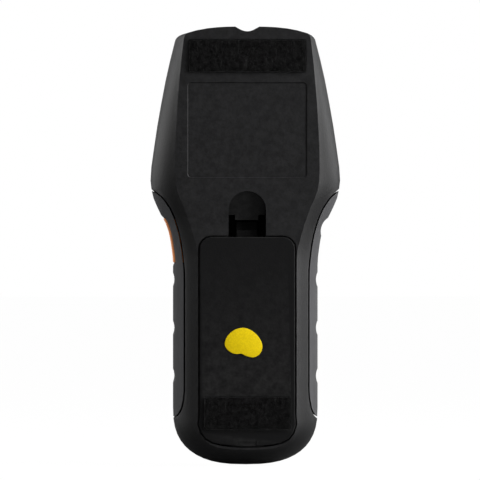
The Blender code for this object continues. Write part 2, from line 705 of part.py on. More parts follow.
cut(door, plate(0, LOWER_PAD_Z, LOWER_PAD_HALF_WIDTH + 0.25, LOWER_PAD_HALF_HEIGHT + 0.25, 1.2,
                -1.0, BACK_Y + PAD_THICKNESS_RECESS))
cut(door, rod_x(BACK_Y - 2.6, DOOR_LOW_Z + 0.9, 3.0, -4.0, 4.0, 32))
door_pivot = (0.0, BACK_Y, HINGE_Z)
node(door, "battery_door", (0.010, 0.010, 0.011), 0.45, pivot=door_pivot)
pad = bevelled(plate(0, LOWER_PAD_Z, LOWER_PAD_HALF_WIDTH, LOWER_PAD_HALF_HEIGHT, 1.0, 0.0,
                     BACK_Y + PAD_THICKNESS_RECESS - CLOSE_GAP), 0.15, 1)
node(pad, "lower_felt_pad", (0.006, 0.006, 0.006), 0.95, pivot=door_pivot)
foam = plate(0, 47.0, 11.0, 14.0, 1.0, door_inner + CLOSE_GAP, BATTERY_Y - CLOSE_GAP)
node(foam, "door_foam", (0.03, 0.03, 0.03), 0.95, pivot=door_pivot)
blob = [(-9.4, 47.4), (-9.2, 50.6), (-7.9, 53.4), (-5.7, 55.9), (-3.3, 57.2), (-1.0, 57.4),
        (1.4, 56.3), (3.9, 54.2), (5.6, 51.8), (6.6, 48.6), (6.0, 46.3), (4.4, 44.8), (2.3, 44.5),
        (0.0, 45.2), (-2.2, 46.3), (-3.8, 46.1), (-5.6, 46.4), (-7.6, 46.5)]
mark = prism(blob, BACK_Y - 0.32, BACK_Y - 0.1)
node(mark, "door_mark", (0.64, 0.50, 0.01), 0.5, pivot=door_pivot)

# ---------------------------------------------------------------- latch
arm = box(-LATCH_HALF, LATCH_HALF, 5.4, 9.6, LATCH_AXIS_Z - 0.7, LATCH_TOP_Z)
cut(arm, box(-LATCH_HALF - 1, LATCH_HALF + 1, 6.6, 8.2, LATCH_AXIS_Z - 2, LATCH_TOP_Z - 1.6))
add(arm, box(-LATCH_HALF, LATCH_HALF, 8.2, 9.6, LATCH_TOP_Z - 0.5, 102.1))
node(arm, "door_latch", (0.010, 0.010, 0.011), 0.45, pivot=(0.0, LATCH_AXIS_Y, LATCH_AXIS_Z))

# ---------------------------------------------------------------- battery bay
half_x = BATTERY_WIDTH / 2 + GAP
tray_floor = BATTERY_Y + BATTERY_DEPTH + 0.3
tray = box(-half_x - TRAY_WALL, half_x + TRAY_WALL, TRAY_BACK_Y, tray_floor + TRAY_WALL,
           TRAY_LOW_Z, TRAY_HIGH_Z)
add(tray, box(-20.4, 20.4, TRAY_BACK_Y, TRAY_BACK_Y + 1.2, TRAY_LOW_Z, TRAY_HIGH_Z))
cut(tray, box(-half_x, half_x, TRAY_BACK_Y - 1, tray_floor, BATTERY_LOW_Z - GAP, TRAY_HIGH_Z - TRAY_WALL))
cut(tray, box(-7.0, 7.0, TRAY_BACK_Y - 1, 17.0, TRAY_HIGH_Z - 3, TRAY_HIGH_Z + 1))
node(tray, "battery_tray", (0.02, 0.02, 0.02), 0.6, smooth=False)
battery_top = BATTERY_LOW_Z + BATTERY_LENGTH
battery_mid_y = BATTERY_Y + BATTERY_DEPTH / 2
battery = box(-BATTERY_WIDTH / 2, BATTERY_WIDTH / 2, BATTERY_Y, BATTERY_Y + BATTERY_DEPTH,
              BATTERY_LOW_Z, battery_top - 2.5)
bevelled(battery, 0.8, 2)
add(battery, rod_z(-6.35, battery_mid_y, 2.9, battery_top - 4, battery_top))
add(battery, rod_z(6.35, battery_mid_y, 3.6, battery_top - 4, battery_top))
node(battery, "battery", (0.10, 0.10, 0.11), 0.35, 0.6)
snap_low = battery_top - 2.5 + CLOSE_GAP
snap = box(-12.4, 12.4, battery_mid_y - 5.5, battery_mid_y + 5.5, snap_low, 75.8)
cut(snap, rod_z(-6.35, battery_mid_y, 3.2, snap_low - 1, battery_top + 0.3))
cut(snap, rod_z(6.35, battery_mid_y, 3.9, snap_low - 1, battery_top + 0.3))
node(snap, "battery_snap", (0.012, 0.012, 0.012), 0.6)


def lead(name, x, colour):
    """Insulated wire from the snap to the main board."""
    points = ((x, battery_mid_y, 76.1), (x, battery_mid_y, 79.5), (x * 1.2, 16.0, 82.5),
              (x * 1.4, 19.5, 84.0), (x * 1.5, BOARD_Y - 0.3, 84.6))
    rings = []
    for index, (px, py, pz) in enumerate(points):
        ax, ay, az = points[max(index - 1, 0)]
        bx, by, bz = points[min(index + 1, len(points) - 1)]
        tilt = math.atan2(by - ay, bz - az)
        ring = []
        for i in range(10):
            angle = 2 * math.pi * i / 10
            u, v = 0.6 * math.cos(angle), 0.6 * math.sin(angle)
            ring.append((px + u, py + v * math.cos(tilt), pz - v * math.sin(tilt)))
        rings.append(ring)
    node(loft(rings), name, colour, 0.5)


lead("red_lead", 3.0, (0.5, 0.01, 0.01))
lead("black_lead", -3.0, (0.01, 0.01, 0.01))

# ---------------------------------------------------------------- boards
board_end = BOARD_Y + BOARD_THICKNESS
board_ring = [(-BOARD_HALF_NECK, BOARD_LOW_Z), (BOARD_HALF_NECK, BOARD_LOW_Z),
              (BOARD_HALF_NECK, BOARD_NECK_Z), (BOARD_HALF_HEAD, BOARD_NECK_Z + 5),
              (BOARD_HALF_HEAD, BOARD_HIGH_Z), (-BOARD_HALF_HEAD, BOARD_HIGH_Z),
              (-BOARD_HALF_HEAD, BOARD_NECK_Z + 5), (-BOARD_HALF_NECK, BOARD_NECK_Z)]
board = prism(board_ring, BOARD_Y, board_end)
for side in (-1, 1):
    cut(board, rod(side * BOARD_SCREW_X, BOARD_SCREW_Z, 1.0, BOARD_Y - 1, board_end + 1, 16))
node(board, "main_board", (0.02, 0.12, 0.04), 0.4, smooth=False)
for side, name in ((-1, "board_screw_left"), (1, "board_screw_right")):
    screw = rod(side * BOARD_SCREW_X, BOARD_SCREW_Z, 0.7, BOARD_Y - 0.4, 28.6, 16)
    add(screw, rod(side * BOARD_SCREW_X, BOARD_SCREW_Z, 1.6, BOARD_Y - 1.4, BOARD_Y - CLOSE_GAP, 16))
    node(screw, name, (0.5, 0.5, 0.5), 0.35, 1.0)
electrode_y = inner_back + SEAT_GAP
sensor_y = electrode_y + ELECTRODE_THICKNESS + SEAT_GAP
sensor_end = sensor_y + BOARD_THICKNESS
sensor_board = plate(0, 143.0, 24.0, 21.0, 1.0, sensor_y, sensor_end)
node(sensor_board, "sensor_board", (0.02, 0.12, 0.04), 0.4, smooth=False)
electrode = plate(0, 143.0, 21.0, 18.0, 2.0, electrode_y, electrode_y + ELECTRODE_THICKNESS)
node(electrode, "sensor_electrode", (0.55, 0.23, 0.10), 0.3, 1.0)
header = box(-8.0, 8.0, sensor_end + CLOSE_GAP, BOARD_Y - CLOSE_GAP, 141.0, 145.0)
node(header, "board_header", (0.015, 0.015, 0.015), 0.5, smooth=False)
chip = box(-16.0, -9.0, BOARD_Y - 1.4, BOARD_Y - CLOSE_GAP, 120.0, 127.0)
node(bevelled(chip, 0.1, 1), "processor_chip", (0.012, 0.012, 0.012), 0.4, smooth=False)
buzzer = rod(12.5, 124.0, 5.0, BOARD_Y - 5.0, BOARD_Y - CLOSE_GAP, 28)
cut(buzzer, rod(12.5, 124.0, 1.0, BOARD_Y - 6.0, BOARD_Y - 4.0, 12))
node(buzzer, "buzzer", (0.012, 0.012, 0.012), 0.4)
frame = plate(0, window_z, WINDOW_HALF_X + 1.4, window_half_z + 2.0, 1.0, board_end + CLOSE_GAP,
              FRONT_INNER_Y - CLOSE_GAP)
cut(frame, plate(0, window_z, WINDOW_HALF_X + 0.2, window_half_z + 0.6, 0.6, board_end - 1, FRONT_Y))
node(frame, "panel_frame", (0.5, 0.5, 0.5), 0.5, smooth=False)
panel = plate(0, window_z, WINDOW_HALF_X - 0.1, window_half_z + 0.3, 0.5, 25.4, 28.6)
node(panel, "display_panel", (0.25, 0.28, 0.22), 0.25, smooth=False)
lens = plate(0, window_z, WINDOW_HALF_X + LENS_MARGIN - 0.2, window_half_z + LENS_MARGIN - 0.2, 2.8,
             FRONT_Y - LENS_THICKNESS, FRONT_Y)
node(lens, "display_lens", (0.8, 0.82, 0.82), 0.05, alpha=0.35, smooth=False)

# ---------------------------------------------------------------- keys and lights
flange_end = FRONT_INNER_Y - 0.25
for name, x, z in KEYS:
    key = bevelled(rod(x, z, KEY_RADIUS, flange_end - 0.5, FRONT_Y + KEY_PROUD, 32), 0.4, 2)
    add(key, rod(x, z, KEY_RADIUS + 1.0, flange_end - KEY_FLANGE, flange_end, 32))
    node(key, name + "_button", (0.05, 0.05, 0.055), 0.6, pivot=(x, FRONT_Y, z))
    body = box(x - SWITCH_HALF, x + SWITCH_HALF, board_end + CLOSE_GAP, 28.0, z - SWITCH_HALF, z + SWITCH_HALF)
    cut(body, rod(x, z, PLUNGER_RADIUS + 0.3, 25.8, 29.0, 20))
    node(body, name + "_switch", (0.02, 0.02, 0.02), 0.4, smooth=False)
    stem = rod(x, z, PLUNGER_RADIUS, 27.0, flange_end - KEY_FLANGE - CLOSE_GAP, 20)
    node(stem, name + "_plunger", (0.6, 0.6, 0.58), 0.4, pivot=(x, 27.0, z))
for name, x in PIPES:
    light = box(x - 1.6, x + 1.6, board_end + CLOSE_GAP, 26.6, PIPE_Z - 1.0, PIPE_Z + 1.0)
    node(light, "led_" + name, (0.8, 0.8, 0.7), 0.3, smooth=False)
    pipe = bevelled(rod(x, PIPE_Z, PIPE_RADIUS, 26.9, FRONT_Y + 0.3, 20), 0.25, 1)
    node(pipe, "light_pipe_" + name, (0.7, 0.7, 0.7), 0.15)

# ---------------------------------------------------------------- case screws
SCREWS = (("upper_left", -UPPER_SCREW_X, UPPER_PAD_Z, 5.0, 26.0),
          ("upper_right", UPPER_SCREW_X, UPPER_PAD_Z, 5.0, 26.0),
          ("lower_left", -LOWER_SCREW_X, LOWER_SCREW_Z, 7.8, 24.5),
          ("lower_right", LOWER_SCREW_X, LOWER_SCREW_Z, 7.8, 24.5))
for name, x, z, seat_y, end_y in SCREWS:
    screw = rod(x, z, HEAD_RADIUS, seat_y - HEAD_HEIGHT, seat_y, 24)
    add(screw, rod(x, z, SHANK_RADIUS, seat_y - 0.5, end_y, 20))
    cut(screw, box(x - 0.4, x + 0.4, seat_y - HEAD_HEIGHT - 1, seat_y - 1.2, z - 1.7, z + 1.7))
    cut(screw, box(x - 1.7, x + 1.7, seat_y - HEAD_HEIGHT - 1, seat_y - 1.2, z - 0.4, z + 0.4))
    node(screw, "case_screw_" + name, (0.5, 0.5, 0.5), 0.35, 1.0)
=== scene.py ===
import json
import math
import random

import bmesh
import bpy
from mathutils import Matrix, Vector


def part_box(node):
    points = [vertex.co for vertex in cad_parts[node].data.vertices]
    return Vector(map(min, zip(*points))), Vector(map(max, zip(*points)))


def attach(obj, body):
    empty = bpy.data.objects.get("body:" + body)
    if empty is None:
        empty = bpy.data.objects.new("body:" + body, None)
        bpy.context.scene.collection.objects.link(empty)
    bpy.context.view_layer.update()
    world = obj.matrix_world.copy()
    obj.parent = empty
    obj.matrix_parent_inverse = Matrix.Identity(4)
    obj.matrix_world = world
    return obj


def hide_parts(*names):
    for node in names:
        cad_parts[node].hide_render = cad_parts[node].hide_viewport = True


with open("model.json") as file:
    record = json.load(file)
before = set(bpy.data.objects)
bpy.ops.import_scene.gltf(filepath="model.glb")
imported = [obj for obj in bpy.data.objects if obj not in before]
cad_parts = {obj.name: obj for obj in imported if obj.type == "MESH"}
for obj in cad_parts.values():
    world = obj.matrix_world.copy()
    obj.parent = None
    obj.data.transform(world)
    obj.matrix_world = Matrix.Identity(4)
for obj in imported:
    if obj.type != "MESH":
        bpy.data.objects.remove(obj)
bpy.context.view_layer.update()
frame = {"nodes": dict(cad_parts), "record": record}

# Sizes in millimetres, heights measured up from the instrument's bottom end.
MM = 0.001
PAD_CENTRE_HEIGHT = 171.6
LENGTH = 184.0
BACK_Y = 1.2

# Name of the mesh attribute that marks rubbed edges.
WEAR = "wear"


# ------------------------------------------------------------ shader wiring
class Wire:
    """A shader socket that takes part in sums."""

    def __init__(self, wiring, socket):
        self.wiring = wiring
        self.socket = socket

    def _math(self, operation, first, second):
        return self.wiring.node("ShaderNodeMath", {"operation": operation}, {0: first, 1: second})

    def __add__(self, other):
        return self._math("ADD", self, other)

    def __radd__(self, other):
        return self._math("ADD", other, self)

    def __sub__(self, other):
        return self._math("SUBTRACT", self, other)

    def __rsub__(self, other):
        return self._math("SUBTRACT", other, self)

    def __mul__(self, other):
        return self._math("MULTIPLY", self, other)

    def __rmul__(self, other):
        return self._math("MULTIPLY", other, self)

    def larger(self, other):
        return self._math("MAXIMUM", self, other)

    def clamped(self):
        return self.wiring.node("ShaderNodeClamp", {}, {"Value": self})


class Wiring:
    """Adds nodes to one shader tree and joins them up."""

    def __init__(self, tree):
        self.tree = tree

    def feed(self, target, value):
        """Link a wire to a socket, or set the socket to a plain value."""
        if isinstance(value, Wire):
            self.tree.links.new(value.socket, target)
        else:
            target.default_value = value

    def node(self, kind, settings, values, output=0):
        made = self.tree.nodes.new(kind)
        for key, value in settings.items():
            setattr(made, key, value)
        for key, value in values.items():
            self.feed(made.inputs[key], value)
        return Wire(self, made.outputs[output])

    def seen_directly(self):
        """1 for rays straight from the camera or through glass, 0 for all others."""
        camera_ray = self.node("ShaderNodeLightPath", {}, {}, "Is Camera Ray")
        glass_ray = self.node("ShaderNodeLightPath", {}, {}, "Is Transmission Ray")
        return camera_ray.larger(glass_ray)


class Finish(Wiring):
    """A procedural finish built round one Principled shader."""

    def __init__(self, name):
        self.material = bpy.data.materials.new(name)
        self.material.use_nodes = True
        super().__init__(self.material.node_tree)
        self.shader = self.tree.nodes["Principled BSDF"]

    def place(self):
        return self.node("ShaderNodeTexCoord", {}, {}, "Object")

    def stretched(self, scale):
        """The place on the piece, squeezed by a scale along each axis."""
        return self.node("ShaderNodeMapping", {}, {"Vector": self.place(), "Scale": scale})

    def noise(self, scale, detail=3.0, roughness=0.55, place=None):
        return self.node("ShaderNodeTexNoise", {}, {
            "Vector": place or self.place(), "Scale": scale, "Detail": detail,
            "Roughness": roughness}, "Fac")

    def cells(self, scale):
        return self.node("ShaderNodeTexVoronoi", {}, {
            "Vector": self.place(), "Scale": scale}, "Distance")

    def between(self, value, low, high):
        """0 below low, 1 above high."""
        return self.node("ShaderNodeMapRange", {"clamp": True}, {
            "Value": value, "From Min": low, "From Max": high})

    def mixed(self, factor, first, second):
        return self.node("ShaderNodeMix", {"data_type": "RGBA"}, {
            0: factor, 6: first, 7: second}, 2)

    def wear(self):
        return self.node("ShaderNodeAttribute", {"attribute_name": WEAR}, {}, "Fac")

    def bump(self, height, depth, strength=1.0):
        return self.node("ShaderNodeBump", {}, {
            "Height": height, "Distance": depth, "Strength": strength})

    def link(self, **sockets):
        for name, value in sockets.items():
            self.feed(self.shader.inputs[name.replace("_", " ")], value)
        return self.material


def rgba(colour):
    return (*colour, 1.0)


def shade(colour, share, lift=0.0):
    """A colour made darker or paler by a share, then lifted evenly."""
    return rgba([c * share + lift for c in colour])


# Spark-eroded grain of the mould, shared by every moulded finish.
GRAIN_SCALE = 1500.0
GRAIN_DEPTH = 0.00007
GRAIN_CELL_SHARE = 0.55


def moulded(name, colour, worn, rough, shine):
    """Moulded plastic: fine spark-eroded grain, faint mottling, rubbed edges."""
    f = Finish(name)
    mottle = f.noise(70.0, detail=4.0)
    fine = f.noise(GRAIN_SCALE, detail=2.0, roughness=0.7)
    patchy = f.between(f.noise(420.0, detail=4.0, roughness=0.7), 0.35, 0.65)
    rub = (f.wear() * patchy).clamped()
    dust = f.between(f.noise(900.0, detail=5.0, roughness=0.75), 0.66, 0.8) * 0.25
    base = f.mixed(f.between(mottle, 0.3, 0.7), shade(colour, 0.94), shade(colour, 1.06))
    base = f.mixed(rub, base, rgba(worn))
    base = f.mixed(dust, base, shade(colour, 1.6, 0.004))
    height = fine + 0.4 * f.cells(GRAIN_SCALE * GRAIN_CELL_SHARE)
    return f.link(Base_Color=base,
                  Roughness=(rough + 0.06 * (mottle - 0.5) - 0.08 * rub).clamped(),
                  Specular_IOR_Level=shine, Normal=f.bump(height, GRAIN_DEPTH, 0.6))


def rubber(name, colour, rough=0.78):
    """Soft grip rubber: dull, slightly dusty, finely pitted."""
    f = Finish(name)
    cloud = f.noise(55.0, detail=5.0)
    pits = f.noise(2100.0, roughness=0.7)
    smear = f.noise(160.0, detail=5.0, roughness=0.7, place=f.stretched((1.0, 1.0, 0.35)))
    base = f.mixed(f.between(cloud, 0.3, 0.7), shade(colour, 0.86), shade(colour, 1.14))
    base = f.mixed(f.between(smear, 0.56, 0.75) * 0.22, base, shade(colour, 1.5, 0.01))
    base = f.mixed((f.wear() * 0.35).clamped(), base, shade(colour, 1.35, 0.008))
    return f.link(Base_Color=base, Roughness=(rough + 0.12 * (smear - 0.5)).clamped(),
                  Specular_IOR_Level=0.22, Normal=f.bump(pits, 0.00005, 0.7))


def felt_finish(name, colour):
    """Pressed felt: tangled fibres, painted shade between the clumps and painted light on them,
    with a dull sheen.
    """
    f = Finish(name)
    tangle = f.noise(1300.0, detail=6.0, roughness=0.8)
    clump = f.noise(420.0, detail=5.0, roughness=0.75)
    strands = f.noise(700.0, detail=4.0, roughness=0.75, place=f.stretched((1.0, 1.0, 0.3)))
    # Painted shade and light: the hollows between the clumps darker, the raised clumps paler.
    base = f.mixed(f.between(clump, 0.40, 0.64), shade(colour, 0.25), shade(colour, 2.1))
    base = f.mixed(f.between(strands, 0.56, 0.70) * 0.7, base, shade(colour, 5.0))
    base = f.mixed(f.between(tangle, 0.55, 0.75) * 0.5, base, shade(colour, 0.2))
    height = 0.7 * tangle + clump + 0.6 * strands
    return f.link(Base_Color=base, Roughness=(0.86 + 0.1 * tangle).clamped(),
                  Specular_IOR_Level=0.02, Sheen_Weight=0.02, Sheen_Roughness=0.5,
                  Normal=f.bump(height, 0.0005, 0.9))


def paint_mark(name, colour):
    """Thick brushed-on paint: even colour, soft ripples, thinner at the rim."""
    f = Finish(name)
    red, green, blue = colour
    thick = (red * 0.93, green * 0.91, blue * 0.8)
    thin = (red * 0.62, green * 0.58, blue * 0.6)
    ripple = f.noise(220.0)
    speck = f.noise(1500.0, detail=4.0, roughness=0.7)
    base = f.mixed(f.between(ripple, 0.35, 0.7) * 0.6, rgba(colour), rgba(thick))
    rim = (f.wear() * f.between(speck, 0.3, 0.6) * 0.55).clamped()
    base = f.mixed(rim, base, rgba(thin))
    return f.link(Base_Color=base, Roughness=(0.5 + 0.16 * (ripple - 0.5)).clamped(),
                  Specular_IOR_Level=0.08, Normal=f.bump(ripple + 0.25 * speck, 0.00004, 0.6))


def metal(name, colour, rough=0.32, line_scale=(30.0, 30.0, 600.0)):
    """Plated or rolled metal with drawn lines and dull patches."""
    f = Finish(name)
    lines = f.noise(1.0, roughness=0.6, place=f.stretched(line_scale))
    patch = f.noise(260.0, detail=4.0)
    base = f.mixed(f.between(patch, 0.35, 0.7), rgba(colour), shade(colour, 0.72))
    return f.link(Base_Color=base, Metallic=1.0,
                  Roughness=(rough + 0.18 * (patch - 0.5)).clamped(),
                  Normal=f.bump(lines, 0.00002, 0.5))


def circuit(name, colour):
    """Solder mask with faint copper tracks showing through."""
    f = Finish(name)
    upright = f.node("ShaderNodeMapping", {}, {
        "Vector": f.place(), "Rotation": (1.5708, 0.0, 0.0)})
    tracks = f.node("ShaderNodeTexBrick", {}, {
        "Vector": upright, "Scale": 160.0, "Mortar Size": 0.06,
        "Color1": rgba((1.0, 1.0, 1.0)), "Color2": rgba((0.7, 0.7, 0.7)),
        "Mortar": rgba((0.0, 0.0, 0.0))}, "Fac")
    base = f.mixed(tracks, rgba(colour), shade(colour, 1.9, 0.01))
    return f.link(Base_Color=base, Roughness=0.3 + 0.2 * f.noise(300.0), Coat_Weight=0.3,
                  Normal=f.bump(tracks, 0.00004, 0.6))


def clear_window(name):
    """Clear acrylic with faint swirls from wiping."""
    f = Finish(name)
    swirl = f.noise(300.0, detail=5.0, roughness=0.7, place=f.stretched((1.0, 1.0, 0.2)))
    return f.link(Base_Color=f.mixed(swirl, rgba((0.75, 0.8, 0.8)), rgba((0.85, 0.9, 0.9))),
                  Roughness=(0.03 + 0.06 * swirl).clamped(), Alpha=0.22,
                  Normal=f.bump(swirl, 0.000004, 0.3))


def panel_face(name):
    """Grey-green reflective liquid-crystal panel with a darker edge seal."""
    f = Finish(name)
    grain = f.noise(2500.0, detail=2.0)
    wash = f.noise(25.0, detail=2.0)
    base = f.mixed(wash, rgba((0.20, 0.23, 0.17)), rgba((0.26, 0.29, 0.22)))
    base = f.mixed(f.wear().clamped(), base, rgba((0.08, 0.09, 0.07)))
    return f.link(Base_Color=base, Roughness=(0.22 + 0.12 * grain).clamped(),
                  Normal=f.bump(grain, 0.000008, 0.4))


# Moulded finishes: name, colour, colour of rubbed edges, roughness, specular level.
CASING = moulded("casing_plastic", (0.0040, 0.0040, 0.0043), (0.011, 0.011, 0.0115), 0.5, 0.155)
# Darker, duller copy of the casing plastic: painted shade for the latch slot, the latch in it and
# the gaps round the grips.
RECESS_PAINTED_SHADE = moulded("recess_painted_shade", (0.0020, 0.0020, 0.0021), (0.004, 0.004, 0.004), 0.8, 0.06)
# Darker copy of the casing plastic: painted shade in the thumb scoop.
SCOOP_PAINTED_SHADE = moulded("scoop_painted_shade", (0.0030, 0.0030, 0.0032), (0.008, 0.008, 0.008), 0.5, 0.14)
DOOR = moulded("door_plastic", (0.0030, 0.0030, 0.0032), (0.012, 0.012, 0.012), 0.5, 0.10)
GRIP = rubber("grip_rubber", (0.032, 0.032, 0.034))
FELT = felt_finish("pad_felt", (0.0029, 0.0029, 0.0029))
LINT = rubber("felt_lint", (0.008, 0.008, 0.008), 0.9)
ORANGE = moulded("orange_plastic", (0.78, 0.27, 0.09), (0.82, 0.36, 0.15), 0.48, 0.35)
YELLOW = paint_mark("yellow_paint", (0.64, 0.48, 0.003))
KEY = moulded("key_rubber", (0.045, 0.045, 0.048), (0.09, 0.09, 0.09), 0.62, 0.25)
BLACK = moulded("black_moulding", (0.008, 0.008, 0.008), (0.02, 0.02, 0.02), 0.42, 0.3)
PALE = moulded("pale_moulding", (0.55, 0.54, 0.50), (0.62, 0.61, 0.58), 0.4, 0.4)
STEEL = metal("screw_steel", (0.58, 0.58, 0.57))
COPPER = metal("copper_sheet", (0.72, 0.38, 0.22), 0.3, (500.0, 30.0, 30.0))
BOARD = circuit("board_mask", (0.012, 0.10, 0.03))
CLEAR = clear_window("window_acrylic")
PANEL = panel_face("panel_glass")
CAN = moulded("battery_can", (0.06, 0.06, 0.068), (0.25, 0.25, 0.25), 0.3, 0.5)
FOAM = rubber("bay_foam", (0.02, 0.02, 0.02), 0.92)
RED = moulded("red_insulation", (0.42, 0.015, 0.012), (0.5, 0.05, 0.04), 0.4, 0.4)
INK = moulded("black_insulation", (0.01, 0.01, 0.01), (0.03, 0.03, 0.03), 0.4, 0.4)

SLOT_FINISH = {
    "casing_plastic": CASING, "door_plastic": DOOR, "grip_rubber": GRIP, "felt": FELT,
    "orange_plastic": ORANGE, "yellow_mark": YELLOW, "key_plastic": KEY, "black_plastic": BLACK,
    "pale_plastic": PALE, "clear_plastic": CLEAR, "panel_glass": PANEL, "green_board": BOARD,
    "copper": COPPER, "screw_steel": STEEL, "battery_case": CAN, "foam": FOAM,
    "red_wire": RED, "black_wire": INK,
}
node_slot = {row["node"]: row["material_slot"] for row in frame["record"]["subparts"]}
node_body = {name: body for body, nodes in frame["record"]["behaviour"]["bodies"].items()
             for name in nodes}


# ------------------------------------------------------------ piece helpers
def z_at(height):
    """Z of a height above the instrument's bottom end."""
    return (height - PAD_CENTRE_HEIGHT) * MM


def paint(obj, finish):
    obj.data.materials.clear()
    obj.data.materials.append(finish)


def settle(bm, name, finish, body, replaced=()):
    """Turn a finished bmesh into a piece that rides on its body."""
    mesh = bpy.data.meshes.new(name)
    bm.to_mesh(mesh)
    bm.free()
    for face in mesh.polygons:
        face.use_smooth = True
    obj = bpy.data.objects.new(name, mesh)
    bpy.context.scene.collection.objects.link(obj)
    paint(obj, finish)
    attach(obj, body)
    if replaced:
        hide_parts(*replaced)
    return obj


# Limits used when a CAD shape is merged, rounded and shaded.
WELD_GAP = 0.000002
FLAT_TURN = math.radians(0.4)
CORNER_TURN = math.radians(32.0)
CREASE_TURN = math.radians(50.0)
SHADING_WEIGHT = 60


def softened(node, width):
    """The CAD node's own shape with its corners rounded and its edges marked for wear."""
    bm = bmesh.new()
    bm.from_mesh(frame["nodes"][node].data)
    bmesh.ops.remove_doubles(bm, verts=bm.verts, dist=WELD_GAP)
    bmesh.ops.dissolve_limit(bm, angle_limit=FLAT_TURN, verts=bm.verts, edges=bm.edges)
    layer = bm.verts.layers.float.new(WEAR)
    edges = [e for e in bm.edges if e.is_manifold and e.calc_face_angle() > CORNER_TURN]
    made = bmesh.ops.bevel(bm, geom=edges, offset=width, segments=2, profile=0.5,
                           affect="EDGES", clamp_overlap=True, material=-1)
    for vertex in made["verts"]:
        if vertex.is_valid:
            vertex[layer] = 1.0
    obj = settle(bm, node + "_shaped", SLOT_FINISH[node_slot[node]], node_body[node],
                 (node,))
    obj.data.set_sharp_from_angle(angle=CREASE_TURN)
    weighted = obj.modifiers.new("even shading", "WEIGHTED_NORMAL")
    weighted.keep_sharp = True
    weighted.weight = SHADING_WEIGHT


def smooth_loop(points, steps):
    """Closed smooth curve through a few points."""
    loop = []
    count = len(points)
    for i in range(count):
        a, b, c, d = (Vector(points[(i + k - 1) % count]) for k in range(4))
        for step in range(steps):
            t = step / steps
            bend = (2 * a - 5 * b + 4 * c - d) * t * t
            twist = (3 * b - a - 3 * c + d) * t ** 3
            loop.append(0.5 * (2 * b + (c - a) * t + bend + twist))
    return loop


# ------------------------------------------------------------ casing and grips
# Rounding of each visible piece's corners, in metres.
CORNER_ROUND = {
    "rear_cover": 0.00022, "front_cover": 0.0003, "left_grip": 0.0003, "right_grip": 0.0003,
    "battery_door": 0.00012, "side_button": 0.0002, "power_button": 0.0002,
    "mode_button": 0.0002, "hold_button": 0.0002, "door_latch": 0.00025,
    "display_lens": 0.0002, "battery": 0.0003, "battery_tray": 0.00015,
    "battery_snap": 0.0003, "display_panel": 0.0003, "light_pipe_low": 0.00015,
    "light_pipe_middle": 0.00015, "light_pipe_high": 0.00015,
}
for node, width in CORNER_ROUND.items():
    softened(node, width)

ANY_WAY = -1.0


def refinish(node, finish, low, high, reach, inward=False):
    """Give the faces of a shaped piece that lie in a box another finish, used here for painted
    shade.

    Only faces turned sideways by at least reach are changed: outward from the middle
    plane, or toward it with inward. ANY_WAY takes every face in the box.
    """
    mesh = bpy.data.objects[node + "_shaped"].data
    mesh.materials.append(finish)
    index = len(mesh.materials) - 1
    for face in mesh.polygons:
        side = face.normal.x * (-1 if face.center.x < 0 else 1)
        if inward:
            side = -side
        if side >= reach and all(low[k] < face.center[k] < high[k] for k in range(3)):
            face.material_index = index


# The thumb scoop above the door and the latch slot below it, both given painted shade.
SCOOP_HALF = 0.0079
SCOOP_TOP = z_at(115.1)
SLOT_TOP = z_at(103.2)
SLOT_FOOT = z_at(95.0)
refinish("rear_cover", SCOOP_PAINTED_SHADE, (-SCOOP_HALF, 0.0014, SLOT_TOP), (SCOOP_HALF, 0.0120, SCOOP_TOP),
         ANY_WAY)
refinish("rear_cover", RECESS_PAINTED_SHADE, (-SCOOP_HALF, 0.0015, SLOT_FOOT), (SCOOP_HALF, 0.0200, SLOT_TOP),
         ANY_WAY)
# The latch in its slot gets the painted shade too.
bpy.data.objects["door_latch_shaped"].data.materials[0] = RECESS_PAINTED_SHADE

# The walls of the gap round each grip get the painted shade.
GAP_LOW = (-0.045, 0.0, z_at(20.3))
GAP_HIGH = (0.045, 0.030, z_at(114.5))
for shell in ("rear_cover", "front_cover"):
    refinish(shell, RECESS_PAINTED_SHADE, GAP_LOW, GAP_HIGH, 0.9)
for grip in ("left_grip", "right_grip"):
    refinish(grip, RECESS_PAINTED_SHADE, GAP_LOW, GAP_HIGH, 0.6, inward=True)

# ------------------------------------------------------------ felt pads
# The pads: a grid pressed into shape, rounded at corners and rim, slightly uneven.
PAD_GRID = (64, 18)
PAD_SHARE_X, PAD_SHARE_Z = 0.994, 0.985
PAD_CORNER = 0.001
PAD_CORNER_ROUND = 0.00085
PAD_FIBRE_ROOM = 0.00012
PAD_RIM_ROUND = 0.00028
PAD_RIM_REACH = 0.0005
PAD_RIM_WANDER = (-0.00002, 0.00022)
PAD_FACE_WANDER = 0.00010
PAD_RIM_TURN = math.radians(50)


